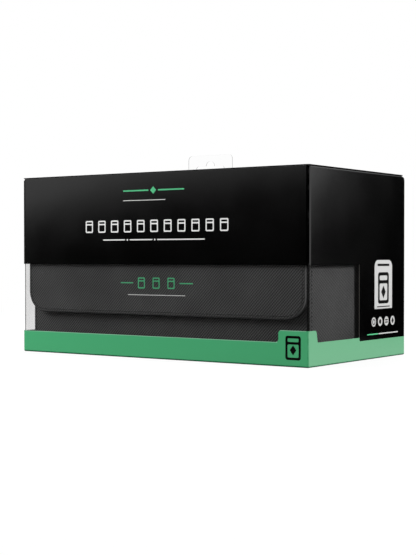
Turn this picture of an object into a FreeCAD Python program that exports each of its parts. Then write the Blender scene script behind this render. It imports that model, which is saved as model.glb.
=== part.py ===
import FreeCAD, Part
import os
import re
import Sketcher

# A flip-lid storage case for graded card slabs, packed in its window carton.
# The frame has +X to the right, -Y to the front and +Z up; z = 0 is the surface the carton stands on.

Vector = FreeCAD.Vector

doc = FreeCAD.newDocument("graded_card_case")
sheet = doc.addObject("Spreadsheet::Sheet", "sizes")

# Driving dimensions in millimetres
driving_sizes = {
    # carton: board, folds, room that it leaves round the case
    "carton_board": 0.6,
    "fold_radius": 1.4,
    "fold_return": 2.2,
    "fold_clearance": 0.3,
    "crease_round": 0.5,
    "corner_notch": 1.7,
    "back_cut_depth": 5.0,
    "back_cut_height": 2.2,
    "lid_corner_cut": 3.4,
    "case_side_gap": 1.5,
    "case_back_gap": 1.7,
    "case_front_gap": 1.8,
    "case_head_gap": 2.7,
    # carton: window, base band and its raised corner tab
    "sill_height": 19.4,
    "tab_height": 29.0,
    "tab_width": 28.0,
    "tab_return": 12.0,
    "tab_slant": 2.0,
    "tab_radius": 2.6,
    "window_head": 80.8,
    "window_reach": 83.3,
    # carton: clear film, tuck ears of the lid
    "film_thickness": 0.3,
    "film_overlap": 12.0,
    "film_gap": 0.4,
    "ear_length": 30.0,
    "ear_height": 40.0,
    "ear_taper": 6.0,
    # hang tab with its slot
    "hang_width": 48.5,
    "hang_height": 19.5,
    "hang_thickness": 0.5,
    "hang_radius": 4.0,
    "hang_foot_depth": 16.0,
    "hang_stand": 0.2,
    "hang_crease": 0.7,
    "slit_clearance": 0.2,
    "slot_width": 31.0,
    "slot_height": 6.4,
    "slot_base": 3.2,
    "slot_end_flat": 0.8,
    "slot_bump_radius": 4.7,
    "slot_bump_rise": 14.0,
    # case body
    "case_width": 296.8,
    "case_depth": 154.9,
    "body_height": 151.4,
    "cover": 1.0,
    "core": 2.4,
    "lining": 1.0,
    "rim": 0.8,
    "cover_radius": 1.6,
    "edge_round": 0.6,
    # case lid and front flap
    "lid_gap": 0.3,
    "lid_setback": 1.0,
    "flap_gap": 2.3,
    "flap_length": 115.0,
    "flap_radius": 19.0,
    # partitions between the three rows
    "partition_thickness": 3.0,
    "partition_height": 118.0,
    "partition_clearance": 0.2,
    "partition_radius": 6.0,
    "scoop_radius": 42.0,
    "scoop_depth": 16.0,
    # closing magnets
    "magnet_diameter": 12.0,
    "magnet_thickness": 1.6,
    "magnet_clearance": 0.05,
    "magnet_pitch": 64.0,
    "magnet_inset": 17.0,
    # how far a cut runs past what it cuts
    "overrun": 2.0,
}
magnet_count = 4
slack_share = 1e-6

for row, (name, size) in enumerate(driving_sizes.items(), 1):
    sheet.set(f"A{row}", name)
    sheet.set(f"B{row}", str(size))
    sheet.setAlias(f"B{row}", name)
doc.recompute()

# Places that several pieces share, as formulas of the driving dimensions
panel = "(cover + core + lining)"
roll = f"(lid_gap + {panel})"
case_half = "(case_width / 2)"
rim_top = "(carton_board + body_height)"

leaf_half = f"({case_half} + case_side_gap + carton_board)"
half_width = f"({leaf_half} + fold_clearance + fold_return)"
room_ahead = f"(flap_gap + {panel} + case_front_gap + film_thickness)"
half_depth = f"((case_depth + case_back_gap + {room_ahead}) / 2 + carton_board)"
wall_top = f"({rim_top} + {roll} + case_head_gap)"
carton_height = f"({wall_top} + carton_board)"
wall_front = f"(-{half_depth})"
wall_front_inner = f"(carton_board - {half_depth})"
wall_back_inner = f"({half_depth} - carton_board)"
fold_end = f"({half_width} - fold_return)"
window_back = f"(window_reach - {half_depth})"

core_half = f"({case_half} - cover)"
room_half = f"({case_half} - {panel})"
case_back = f"({half_depth} - carton_board - case_back_gap)"
case_front = f"({case_back} - case_depth)"
wall_end = f"({rim_top} - rim)"
floor_top = f"(carton_board + {panel})"

lid_base = f"({rim_top} + lid_gap)"
lid_top = f"({rim_top} + {roll})"
hinge_y = f"({case_back} - {roll})"
lid_back = f"({hinge_y} - lid_setback)"
flap_outer = f"({case_front} - flap_gap - {panel})"
flap_inner = f"({flap_outer} + {panel})"
crease_y = f"({flap_outer} + {roll})"
flap_bottom = f"({rim_top} - flap_length)"
magnet_z = f"({flap_bottom} + magnet_inset)"

nodes = []


def formula(text):
    """An expression in which every word is a cell of the sheet."""
    return re.sub(r"[a-z][a-z_]*", r"sizes.\g<0>", text)


def number(text):
    return float(sheet.evalExpression(formula(text)))


def minus(text):
    return f"-({text})"


def place(item, x, y, z):
    for axis, text in zip("xyz", (x, y, z)):
        item.setExpression(f".Placement.Base.{axis}", formula(text))


def node(item, label):
    item.Label = label
    nodes.append(item)
    return item


def slab(label, low, size):
    """A flat board with square edges, from its lowest corner and its size."""
    box = doc.addObject("Part::Box", label)
    for name, text in zip(("Length", "Width", "Height"), size):
        box.setExpression(name, formula(text))
    place(box, *low)
    return node(box, label)


def new_body(label):
    return node(doc.addObject("PartDesign::Body", label), label)


def new_sketch(body, plane, offset="0"):
    """A sketch on one of the body's own origin planes, moved along that plane's normal."""
    sketch = body.newObject("Sketcher::SketchObject", f"{body.Name}_sketch")
    support = [feature for feature in body.Origin.OriginFeatures if feature.Role == plane]
    sketch.AttachmentSupport = [(support[0], "")]
    sketch.MapMode = "FlatFace"
    sketch.setExpression(".AttachmentOffset.Base.z", formula(offset))
    return sketch


def fix_point(sketch, geometry, point, x, y):
    for kind, text in (("DistanceX", x), ("DistanceY", y)):
        rule = Sketcher.Constraint(kind, -1, 1, geometry, point, number(text))
        index = sketch.addConstraint(rule)
        sketch.setExpression(f"Constraints[{index}]", formula(text))


def outline(sketch, corners):
    """A closed outline of straight lines whose corners are pairs of formulas."""
    points = [Vector(number(x), number(y), 0) for x, y in corners]
    count = len(points)
    lines = [sketch.addGeometry(Part.LineSegment(points[k], points[(k + 1) % count])) for k in range(count)]
    for k in range(count):
        sketch.addConstraint(Sketcher.Constraint("Coincident", lines[k], 2, lines[(k + 1) % count], 1))
    for line, (x, y) in zip(lines, corners):
        fix_point(sketch, line, 1, x, y)


def rectangle(sketch, low, high):
    outline(sketch, [low, (high[0], low[1]), high, (low[0], high[1])])


def circle(sketch, x, y, radius):
    shape = Part.Circle(Vector(number(x), number(y), 0), Vector(0, 0, 1), number(radius))
    geometry = sketch.addGeometry(shape)
    index = sketch.addConstraint(Sketcher.Constraint("Radius", geometry, number(radius)))
    sketch.setExpression(f"Constraints[{index}]", formula(radius))
    fix_point(sketch, geometry, 3, x, y)


def pad(body, sketch, length, side="One side", reverse=False):
    feature = body.newObject("PartDesign::Pad", f"{body.Name}_pad")
    feature.Profile = sketch
    feature.SideType = side
    feature.Reversed = reverse
    feature.setExpression("Length", formula(length))
    doc.recompute()


def pocket(body, sketch, length, side="One side", reverse=False):
    """A cut that has to take some material away."""
    before = body.Shape.Volume
    feature = body.newObject("PartDesign::Pocket", f"{body.Name}_pocket")
    feature.Profile = sketch
    feature.SideType = side
    feature.Reversed = reverse
    feature.setExpression("Length", formula(length))
    doc.recompute()
    if body.Shape.Volume >= before:
        raise RuntimeError(f"a cut in {body.Label} takes nothing away")


def edges_along(shape, axis, places):
    """Names of the edges along one axis (0, 1 or 2) that stand at the given places across it."""
    slack = slack_share * shape.BoundBox.DiagonalLength
    across = [k for k in range(3) if k != axis]
    found = []
    for index, edge in enumerate(shape.Edges, 1):
        box = edge.BoundBox
        low = (box.XMin, box.YMin, box.ZMin)
        high = (box.XMax, box.YMax, box.ZMax)
        spread = max(high[k] - low[k] for k in across)
        for spot in places:
            miss = max(abs((low[k] + high[k]) / 2 - at) for k, at in zip(across, spot))
            if max(spread, miss) < slack:
                found.append(f"Edge{index}")
    return found


def rim_edges(shape, depth, top):
    """Names of the edges of the face that stands at the given depth, apart from its top edge."""
    slack = slack_share * shape.BoundBox.DiagonalLength
    found = []
    for index, edge in enumerate(shape.Edges, 1):
        box = edge.BoundBox
        flat = max(abs(box.YMin - number(depth)), abs(box.YMax - number(depth))) < slack
        if flat and box.ZMin < number(top) - slack:
            found.append(f"Edge{index}")
    return found


def dress(body, kind, size_name, size, names):
    """A fillet or chamfer on named edges of the body as it stands."""
    last = body.Tip
    feature = body.newObject(kind, f"{body.Name}_dress")
    feature.Base = (last, names)
    feature.setExpression(size_name, formula(size))
    doc.recompute()


def edges_at(body, axis, places):
    spots = [tuple(number(text) for text in spot) for spot in places]
    return edges_along(body.Shape, axis, spots)


def fillet(body, radius, axis, places):
    dress(body, "PartDesign::Fillet", "Radius", radius, edges_at(body, axis, places))


def chamfer(body, size, axis, places):
    dress(body, "PartDesign::Chamfer", "Size", size, edges_at(body, axis, places))


def fold(body, radius, runs):
    """One rounding over edges along several axes, which closes the corner where they meet."""
    names = [name for axis, places in runs for name in edges_at(body, axis, places)]
    dress(body, "PartDesign::Fillet", "Radius", radius, names)


def mirror_across_middle(body):
    """A second copy of the last feature on the other side of the middle plane."""
    middle = [feature for feature in body.Origin.OriginFeatures if feature.Role == "YZ_Plane"]
    last = body.Tip
    feature = body.newObject("PartDesign::Mirrored", f"{body.Name}_mirror")
    feature.Originals = [last]
    feature.MirrorPlane = (middle[0], [""])
    body.Tip = feature
    doc.recompute()


# Carton walls
def turned_edge(body, low, high, base):
    """A strip of board that a wall turns in at its top or bottom, from the given base upwards."""
    strip = new_sketch(body, "XY_Plane", base)
    rectangle(strip, low, high)
    pad(body, strip, "carton_board")


def carton_side(label, sign, has_tab):
    """A side wall that turns in on folds at its front, top and bottom, with the window cut round the corner."""
    outer = f"{sign}{half_width}"
    inner = f"{sign}({half_width} - carton_board)"
    turned = f"{sign}{fold_end}"
    ridge = f"({wall_top} - carton_board)"
    body = new_body(label)
    plan = new_sketch(body, "XY_Plane")
    outline(plan, [(outer, wall_back_inner), (outer, wall_front), (turned, wall_front),
                   (turned, wall_front_inner), (inner, wall_front_inner), (inner, wall_back_inner)])
    pad(body, plan, wall_top)
    for base in ("0", ridge):
        turned_edge(body, (turned, wall_front_inner), (inner, wall_back_inner), base)

    notch = new_sketch(body, "XY_Plane", wall_top)
    rectangle(notch, (outer, wall_front), (turned, f"{wall_front} + corner_notch"))
    pocket(body, notch, "corner_notch")
    relief = new_sketch(body, "YZ_Plane")
    outline(relief, [(f"{wall_back_inner} - back_cut_depth", wall_top), (wall_back_inner, wall_top),
                     (wall_back_inner, f"{wall_top} - back_cut_height")])
    pocket(body, relief, f"2 * ({half_width} + overrun)", side="Symmetric")

    fold(body, "fold_radius - carton_board",
         [(2, [(inner, wall_front_inner)]), (1, [(inner, "carton_board"), (inner, ridge)]),
          (0, [(wall_front_inner, "carton_board")])])
    fold(body, "fold_radius",
         [(2, [(outer, wall_front)]), (1, [(outer, "0"), (outer, wall_top)]), (0, [(wall_front, "0")])])

    window = new_sketch(body, "YZ_Plane")
    ahead = f"({wall_front} - overrun)"
    if has_tab:
        tab_end = f"({wall_front} + tab_return)"
        outline(window, [(ahead, "tab_height"), (tab_end, "tab_height"), (f"{tab_end} + tab_slant", "sill_height"),
                         (window_back, "sill_height"), (window_back, "window_head"), (ahead, "window_head")])
    else:
        rectangle(window, (ahead, "sill_height"), (window_back, "window_head"))
    pocket(body, window, f"2 * ({half_width} + overrun)", side="Symmetric")
    if has_tab:
        fillet(body, "tab_radius", 0, [(tab_end, "tab_height")])


def carton_sill():
    """The front of the base band, turned in at its foot and raised into a tab at its right-hand end."""
    tab_start = f"({half_width} - tab_width)"
    body = new_body("carton_sill")
    face = new_sketch(body, "XZ_Plane", minus(wall_front_inner))
    outline(face, [(minus(fold_end), "0"), (fold_end, "0"), (fold_end, "tab_height"), (tab_start, "tab_height"),
                   (tab_start, "sill_height"), (minus(fold_end), "sill_height")])
    pad(body, face, "carton_board")
    fillet(body, "tab_radius", 1, [(tab_start, "tab_height"), (tab_start, "sill_height")])
    turned_edge(body, (minus(fold_end), wall_front_inner), (fold_end, f"{wall_front} + fold_return"), "0")
    fillet(body, "fold_radius - carton_board", 0, [(wall_front_inner, "carton_board")])
    fillet(body, "fold_radius", 0, [(wall_front, "0")])


def carton_back():
    body = new_body("carton_back")
    face = new_sketch(body, "XZ_Plane", minus(half_depth))
    rectangle(face, (minus(half_width), "0"), (half_width, wall_top))
    pad(body, face, "carton_board")
    fillet(body, "fold_radius", 1, [(minus(half_width), "0"), (half_width, "0")])
    chamfer(body, "lid_corner_cut", 1, [(minus(half_width), wall_top), (half_width, wall_top)])


def carton_tray():
    slab("carton_bottom", (minus(fold_end), f"{wall_front} + fold_return", "0"),
         (f"2 * {fold_end}", f"{wall_back_inner} - {wall_front} - fold_return", "carton_board"))
    carton_back()
    carton_side("carton_left_side", "-", False)
    carton_side("carton_right_side", "", True)
    carton_sill()


# Carton lid: top panel, front leaf that hangs from it, tuck ears behind the leaf
def carton_lid():
    top = new_body("carton_top_panel")
    sketch = new_sketch(top, "XY_Plane", wall_top)
    rectangle(sketch, (minus(half_width), minus(half_depth)), (half_width, half_depth))
    pad(top, sketch, "carton_board")
    fillet(top, "fold_radius", 2, [(minus(half_width), wall_front), (half_width, wall_front)])
    chamfer(top, "lid_corner_cut", 2, [(minus(half_width), half_depth), (half_width, half_depth)])
    slit = new_sketch(top, "XY_Plane", wall_top)
    slit_x = "(hang_width / 2 + slit_clearance)"
    slit_y = "(hang_thickness / 2 + slit_clearance)"
    rectangle(slit, (minus(slit_x), minus(slit_y)), (slit_x, slit_y))
    pocket(top, slit, "carton_board + overrun", side="Symmetric")

    leaf = new_body("carton_front_leaf")
    face = new_sketch(leaf, "XZ_Plane", minus(wall_front_inner))
    rectangle(face, (minus(leaf_half), "window_head"), (leaf_half, wall_top))
    pad(leaf, face, "carton_board")
    fillet(leaf, "crease_round", 0, [(wall_front, wall_top)])

    ears = new_body("carton_tuck_ears")
    ear = new_sketch(ears, "YZ_Plane", f"{leaf_half} - carton_board")
    tip = f"({wall_front_inner} + ear_length)"
    outline(ear, [(wall_front_inner, wall_top), (wall_front_inner, f"{wall_top} - ear_height"),
                  (tip, f"{wall_top} - ear_height + ear_taper"), (tip, f"{wall_top} - ear_taper")])
    pad(ears, ear, "carton_board")
    mirror_across_middle(ears)


# Clear film behind the window
def films():
    front = new_body("front_film")
    sketch = new_sketch(front, "XZ_Plane", minus(wall_front_inner))
    low = "(sill_height + film_gap)"
    low_tab = "(tab_height + film_gap)"
    high = "(window_head + film_overlap)"
    notch = f"({half_width} - tab_width - film_gap)"
    outline(sketch, [(minus(leaf_half), low), (notch, low), (notch, low_tab), (leaf_half, low_tab),
                     (leaf_half, high), (minus(leaf_half), high)])
    pad(front, sketch, "film_thickness", reverse=True)

    sides = new_body("side_films")
    sketch = new_sketch(sides, "YZ_Plane", f"{half_width} - carton_board - film_thickness")
    rectangle(sketch, (f"{wall_front} + fold_return", "sill_height - film_overlap"),
              (f"{window_back} + film_overlap", high))
    pad(sides, sketch, "film_thickness")
    mirror_across_middle(sides)


# Hang tab: a foot glued under the top panel and the blade that folds on it
def hang_tab():
    wide = "(hang_width / 2)"
    thin = "(hang_thickness / 2)"
    foot = new_body("hang_tab_foot")
    plate = new_sketch(foot, "XY_Plane", f"{wall_top} - hang_thickness")
    rectangle(plate, (minus(wide), "-hang_foot_depth / 2"), (wide, "hang_foot_depth / 2"))
    pad(foot, plate, "hang_thickness")
    stem = new_sketch(foot, "XY_Plane", wall_top)
    rectangle(stem, (minus(wide), minus(thin)), (wide, thin))
    pad(foot, stem, "carton_board + hang_stand")

    blade = new_body("hang_tab")
    base = f"({carton_height} + hang_stand + hang_crease)"
    crown = f"({carton_height} + hang_height)"
    face = new_sketch(blade, "XZ_Plane")
    rectangle(face, (minus(wide), base), (wide, crown))
    pad(blade, face, "hang_thickness", side="Symmetric")
    fillet(blade, "hang_radius", 1, [(minus(wide), crown), (wide, crown)])
    wing = "(slot_width / 2)"
    wing_low = f"({carton_height} + slot_base)"
    wing_high = f"({wing_low} + slot_height)"
    slot = new_sketch(blade, "XZ_Plane")
    rectangle(slot, (minus(wing), wing_low), (wing, wing_high))
    pocket(blade, slot, "hang_thickness + overrun", side="Symmetric")
    fillet(blade, "(slot_height - slot_end_flat) / 2", 1, [(minus(wing), wing_low), (wing, wing_low),
                                                           (minus(wing), wing_high), (wing, wing_high)])
    bump = new_sketch(blade, "XZ_Plane")
    circle(bump, "0", f"{carton_height} + slot_bump_rise - slot_bump_radius", "slot_bump_radius")
    pocket(blade, bump, "hang_thickness + overrun", side="Symmetric")


# Case body: leather-look cover outside, grey boards, soft lining inside
def open_tray(label, half, front, back, low, high, wall, corner_radius):
    """A five-sided shell, open at the top, with one wall thickness all round."""
    body = new_body(label)
    plan = new_sketch(body, "XY_Plane", low)
    rectangle(plan, (minus(half), front), (half, back))
    pad(body, plan, f"{high} - {low}")
    corners = [(x, y) for x in (minus(half), half) for y in (front, back)]
    if corner_radius:
        fillet(body, corner_radius, 2, corners)
    hollow = new_sketch(body, "XY_Plane", high)
    rectangle(hollow, (f"{wall} - {half}", f"{front} + {wall}"), (f"{half} - {wall}", f"{back} - {wall}"))
    pocket(body, hollow, f"{high} - {low} - {wall}")


def magnet_places():
    return [f"{k - (magnet_count - 1) / 2} * magnet_pitch" for k in range(magnet_count)]


def magnet_recesses(body, face):
    """Round recesses for the closing magnets, cut towards the back from a face at the given depth."""
    sketch = new_sketch(body, "XZ_Plane", minus(face))
    for x in magnet_places():
        circle(sketch, x, magnet_z, "magnet_diameter / 2 + magnet_clearance")
    return sketch


def magnets(label, face):
    """A row of disc magnets whose front faces stand at the given depth."""
    discs = []
    for x in magnet_places():
        disc = doc.addObject("Part::Cylinder", f"{label}_disc")
        disc.setExpression("Radius", formula("magnet_diameter / 2"))
        disc.setExpression("Height", formula("magnet_thickness"))
        disc.Placement = FreeCAD.Placement(Vector(), FreeCAD.Rotation(Vector(1, 0, 0), -90))
        place(disc, x, face, magnet_z)
        discs.append(disc)
    group = doc.addObject("Part::Compound", label)
    group.Links = discs
    node(group, label)


def case_body():
    front_in = f"({case_front} + cover)"
    back_in = f"({case_back} - cover)"
    floor_low = "(carton_board + cover)"
    walls_low = "(carton_board + cover + core)"
    open_tray("body_cover", case_half, case_front, case_back, "carton_board", wall_end, "cover", "cover_radius")

    slab("floor_board", (minus(core_half), front_in, floor_low),
         (f"2 * {core_half}", f"{back_in} - {front_in}", "core"))
    board = new_body("front_board")
    face = new_sketch(board, "XZ_Plane", f"-{front_in} - core")
    rectangle(face, (minus(core_half), walls_low), (core_half, wall_end))
    pad(board, face, "core")
    pocket(board, magnet_recesses(board, front_in), "magnet_thickness")
    slab("back_board", (minus(core_half), f"{back_in} - core", walls_low),
         (f"2 * {core_half}", "core", f"{wall_end} - {walls_low}"))
    for label, low_x in (("left_board", minus(core_half)), ("right_board", f"{core_half} - core")):
        slab(label, (low_x, f"{front_in} + core", walls_low),
             ("core", f"{back_in} - {front_in} - 2 * core", f"{wall_end} - {walls_low}"))
    magnets("wall_magnets", front_in)

    open_tray("body_lining", f"({core_half} - core)", f"({front_in} + core)", f"({back_in} - core)",
              walls_low, wall_end, "lining", "")

    ring = new_body("rim_binding")
    plan = new_sketch(ring, "XY_Plane", wall_end)
    rectangle(plan, (minus(case_half), case_front), (case_half, case_back))
    pad(ring, plan, "rim")
    corners = [(x, y) for x in (minus(case_half), case_half) for y in (case_front, case_back)]
    fillet(ring, "cover_radius", 2, corners)
    mouth = new_sketch(ring, "XY_Plane", rim_top)
    rectangle(mouth, (minus(room_half), f"{case_front} + {panel}"), (room_half, f"{case_back} - {panel}"))
    pocket(ring, mouth, "rim + overrun", side="Symmetric")


def partition(label, sign):
    """A lined board between two rows, dipped at the top so a slab can be gripped."""
    body = new_body(label)
    across = f"{sign}((2 * {room_half} + partition_thickness) / 6)"
    side = new_sketch(body, "YZ_Plane", across)
    low_y = f"({case_front} + {panel} + partition_clearance)"
    high_y = f"({case_back} - {panel} - partition_clearance)"
    top = f"({floor_top} + partition_height)"
    rectangle(side, (low_y, floor_top), (high_y, top))
    pad(body, side, "partition_thickness", side="Symmetric")
    dip = new_sketch(body, "YZ_Plane", across)
    circle(dip, f"({low_y} + {high_y}) / 2", f"{top} + scoop_radius - scoop_depth", "scoop_radius")
    pocket(body, dip, "partition_thickness + overrun", side="Symmetric")
    fillet(body, "partition_radius", 0, [(low_y, top), (high_y, top)])


# Case lid, front flap and the leather rolls that join them
def leather_roll(label, y, quarter, tail):
    """A quarter of a tube about the hinge line, with a flat tail that runs on to the lid."""
    length = f"2 * {case_half}"
    tubes = []
    for name, radius in (("outside", roll), ("inside", f"{roll} - cover")):
        tube = doc.addObject("Part::Cylinder", f"{label}_{name}")
        tube.setExpression("Radius", formula(radius))
        tube.setExpression("Height", formula(length))
        tube.Angle = 90
        tube.Placement = FreeCAD.Placement(Vector(), quarter)
        place(tube, minus(case_half), y, rim_top)
        tubes.append(tube)
    ring = doc.addObject("Part::Cut", f"{label}_ring")
    ring.Base, ring.Tool = tubes
    if not tail:
        return node(ring, label)
    flat = doc.addObject("Part::Box", f"{label}_flat")
    for name, text in (("Length", length), ("Width", tail), ("Height", "cover")):
        flat.setExpression(name, formula(text))
    place(flat, minus(case_half), f"{y} - {tail}", f"{lid_top} - cover")
    joined = doc.addObject("Part::Fuse", label)
    joined.Base = ring
    joined.Tool = flat
    joined.Refine = True
    return node(joined, label)


def case_lid():
    depth = f"{lid_back} - {crease_y}"
    cover = new_body("lid_cover")
    section = new_sketch(cover, "XZ_Plane", minus(lid_back))
    under = f"({lid_top} - cover)"
    outline(section, [(minus(case_half), lid_base), (minus(case_half), lid_top), (case_half, lid_top),
                      (case_half, lid_base), (core_half, lid_base), (core_half, under),
                      (minus(core_half), under), (minus(core_half), lid_base)])
    pad(cover, section, depth)
    fillet(cover, "edge_round", 1, [(minus(case_half), lid_top), (case_half, lid_top)])
    slab("lid_board", (minus(core_half), crease_y, f"{lid_base} + lining"), (f"2 * {core_half}", depth, "core"))
    slab("lid_lining", (minus(core_half), crease_y, lid_base), (f"2 * {core_half}", depth, "lining"))
    toward_back = FreeCAD.Rotation(Vector(0, 1, 0), Vector(0, 0, 1), Vector(1, 0, 0), "ZXY")
    toward_front = FreeCAD.Rotation(Vector(0, 0, 1), Vector(0, -1, 0), Vector(1, 0, 0), "ZXY")
    leather_roll("lid_hinge_leather", hinge_y, toward_back, "lid_setback")
    leather_roll("flap_crease_leather", crease_y, toward_front, "")


def flap_layer(label, low_y, thickness):
    """One inner layer of the flap, with the flap's rounded lower corners less the cover."""
    body = new_body(label)
    face = new_sketch(body, "XZ_Plane", f"-({low_y}) - {thickness}")
    foot = f"({flap_bottom} + cover)"
    rectangle(face, (minus(core_half), foot), (core_half, rim_top))
    pad(body, face, thickness)
    fillet(body, "flap_radius - cover", 1, [(minus(core_half), foot), (core_half, foot)])
    return body


def case_flap():
    cover = new_body("flap_cover")
    face = new_sketch(cover, "XZ_Plane", minus(flap_inner))
    rectangle(face, (minus(case_half), flap_bottom), (case_half, rim_top))
    pad(cover, face, panel)
    hollow = new_sketch(cover, "XZ_Plane", minus(flap_inner))
    foot = f"({flap_bottom} + cover)"
    rectangle(hollow, (minus(core_half), foot), (core_half, f"{rim_top} + overrun"))
    pocket(cover, hollow, "core + lining", reverse=True)
    fillet(cover, "flap_radius - cover", 1, [(minus(core_half), foot), (core_half, foot)])
    fillet(cover, "flap_radius", 1, [(minus(case_half), flap_bottom), (case_half, flap_bottom)])
    dress(cover, "PartDesign::Fillet", "Radius", "cover_radius", rim_edges(cover.Shape, flap_outer, rim_top))

    board = flap_layer("flap_board", f"{flap_outer} + cover", "core")
    recess = magnet_recesses(board, f"{flap_outer} + cover + core")
    pocket(board, recess, "magnet_thickness", reverse=True)
    flap_layer("flap_lining", f"{flap_outer} + cover + core", "lining")
    magnets("flap_magnets", f"{flap_outer} + cover + core - magnet_thickness")


def write_parts():
    doc.recompute()
    for item in doc.Objects:
        if "Invalid" in item.State or "Error" in item.State:
            raise RuntimeError(f"{item.Label} did not build: {item.State}")
    for item in nodes:
        if item.Shape.isNull() or not item.Shape.isValid():
            raise RuntimeError(f"{item.Label} has no valid shape")
    os.makedirs("parts", exist_ok=True)
    for item in nodes:
        item.Shape.exportStep(f"parts/{item.Label}.step")
        print(item.Label, len(item.Shape.Solids), round(item.Shape.Volume, 1))


carton_tray()
carton_lid()
films()
hang_tab()
case_body()
partition("left_partition", "-")
partition("right_partition", "")
case_lid()
case_flap()
write_parts()
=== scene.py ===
import math

import bmesh
import bpy
from mathutils import Matrix, Vector


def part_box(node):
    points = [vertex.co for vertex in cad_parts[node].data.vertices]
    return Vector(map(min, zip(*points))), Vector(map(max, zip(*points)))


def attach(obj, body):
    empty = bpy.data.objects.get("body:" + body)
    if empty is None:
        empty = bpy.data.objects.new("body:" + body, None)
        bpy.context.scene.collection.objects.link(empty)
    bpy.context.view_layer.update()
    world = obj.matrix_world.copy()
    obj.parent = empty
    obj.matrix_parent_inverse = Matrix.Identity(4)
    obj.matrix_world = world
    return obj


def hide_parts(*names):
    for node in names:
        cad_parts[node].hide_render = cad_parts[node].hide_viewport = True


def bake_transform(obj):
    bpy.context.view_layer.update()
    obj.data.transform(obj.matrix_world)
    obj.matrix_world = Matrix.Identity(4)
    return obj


# A flip-lid case for graded card slabs, packed in its window carton, with its front towards -Y
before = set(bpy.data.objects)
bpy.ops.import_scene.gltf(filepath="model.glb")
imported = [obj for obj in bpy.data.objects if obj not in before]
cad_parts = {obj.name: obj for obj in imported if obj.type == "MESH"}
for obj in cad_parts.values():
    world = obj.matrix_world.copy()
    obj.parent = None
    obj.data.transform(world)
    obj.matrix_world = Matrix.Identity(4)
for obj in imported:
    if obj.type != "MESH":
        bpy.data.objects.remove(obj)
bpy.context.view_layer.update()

mm = 0.001
across = Vector((1, 0, 0))
away = Vector((0, 1, 0))
upward = Vector((0, 0, 1))

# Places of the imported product, read from the frame
leaf_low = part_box("carton_front_leaf")[0]
side_film_low, side_film_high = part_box("side_films")
flap_low, flap_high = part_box("flap_cover")
case_low, case_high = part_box("body_cover")
lid_low, lid_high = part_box("lid_cover")
hinge_low, hinge_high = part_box("lid_hinge_leather")
crease_low, crease_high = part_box("flap_crease_leather")

# Places on the carton, its window and its sill
carton_front = leaf_low.y
carton_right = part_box("carton_right_side")[1].x
carton_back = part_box("carton_back")[1].y
carton_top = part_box("carton_top_panel")[1].z
carton_middle = Vector((0.0, 0.0, carton_top / 2))
window_head = leaf_low.z
window_back = 0.0
sill_height = 19.4 * mm
tab_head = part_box("carton_sill")[1].z
tab_left = 124.0 * mm
window_middle = (sill_height + window_head) / 2

# Small sizes of the carton's print, folds and film
print_edge_limit = 4 * mm
band_height = 16.5 * mm
band_corner = 1.3 * mm
fold_rub_reach = 1.8 * mm
fold_start = 1.4 * mm
fold_end = 3.3 * mm
fold_drop = 0.35 * mm
foot_shade_height = 1.6 * mm
gap_depth = 1.0 * mm
sill_highlight_width = 0.8 * mm
film_corner_radius = 1.5 * mm
film_corner_wall = 0.2 * mm
ink_thickness = 0.06 * mm
ink_sink = 0.01 * mm

# Small sizes of the case's leather and thread
leather_wall = 1.0 * mm
flap_corner_radius = 19.0 * mm
seam_inset = 3.0 * mm
seam_end = 3.0 * mm
stitch_spacing = 3.6 * mm
stitch_length = 2.9 * mm
thread_width = 0.9 * mm

# Waves of the twill, of its cross line and of the thread's twist, counted to the millimetre
whole_wave = 2 * math.pi / mm
twill_waves = Vector((0.371, 0.371, -0.366)) * whole_wave
cross_waves = Vector((0.42, 0.42, 0.366)) * whole_wave
twist_waves = Vector((1.6, 1.6, 1.6)) * whole_wave

# Limits that several finishes share
noise_spread = (0.3, 0.7)
facing_limit = 0.5
plain_gloss = 0.5

# Colours, as linear light
black_ink = (0.0005, 0.0005, 0.0005, 1.0)
green_front_ink = (0.068, 0.385, 0.170, 1.0)
# The sides and the back get a lighter green than the front, as painted light
painted_side_light_green = (0.150, 0.398, 0.226, 1.0)
# A darker green painted along the foot, as painted shade on the rounded bottom fold
painted_foot_shade_green = (0.006, 0.135, 0.052, 1.0)
rubbed_black = (0.045, 0.045, 0.045, 1.0)
# Paler green for rubbed patches along the folds, also painted as a highlight along the sill's top edge
rubbed_and_highlight_green = (0.26, 0.55, 0.37, 1.0)
bare_board = (0.15, 0.14, 0.13, 1.0)
cut_board = (0.28, 0.265, 0.245, 1.0)
fibre_shade = (0.09, 0.084, 0.078, 1.0)
film_tint = (0.005, 0.005, 0.005, 1.0)
leather_dark = (0.012, 0.012, 0.012, 1.0)
leather_light = (0.118, 0.118, 0.118, 1.0)
# A paler leather painted where the flap's front edge rounds over, as a painted highlight
leather_painted_highlight = (0.13, 0.13, 0.13, 1.0)
lining_dark = (0.012, 0.012, 0.013, 1.0)
lining_light = (0.05, 0.05, 0.052, 1.0)
core_dark = (0.20, 0.195, 0.18, 1.0)
core_light = (0.42, 0.41, 0.39, 1.0)
plate_dark = (0.50, 0.50, 0.51, 1.0)
plate_light = (0.68, 0.68, 0.69, 1.0)
thread_dark = (0.008, 0.008, 0.008, 1.0)
thread_light = (0.03, 0.03, 0.03, 1.0)
white_paint = (0.80, 0.80, 0.79, 1.0)
tag_paint = (0.53, 0.53, 0.525, 1.0)
green_paint = (0.085, 0.50, 0.23, 1.0)
floor_pale = (0.8, 0.8, 0.8, 1.0)
floor_bounce = (0.15, 0.15, 0.15, 1.0)
plain_white = (1.0, 1.0, 1.0, 1.0)
plain_black = (0.0, 0.0, 0.0, 1.0)


# Short ways to build a material's nodes
def new_finish(name):
    material = bpy.data.materials.new(name)
    material.use_nodes = True
    tree = material.node_tree
    return material, tree, tree.nodes["Principled BSDF"]


def put(tree, socket, value):
    """Link a socket to another one, or give it a plain value."""
    if isinstance(value, bpy.types.NodeSocket):
        tree.links.new(value, socket)
    else:
        socket.default_value = value


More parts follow.
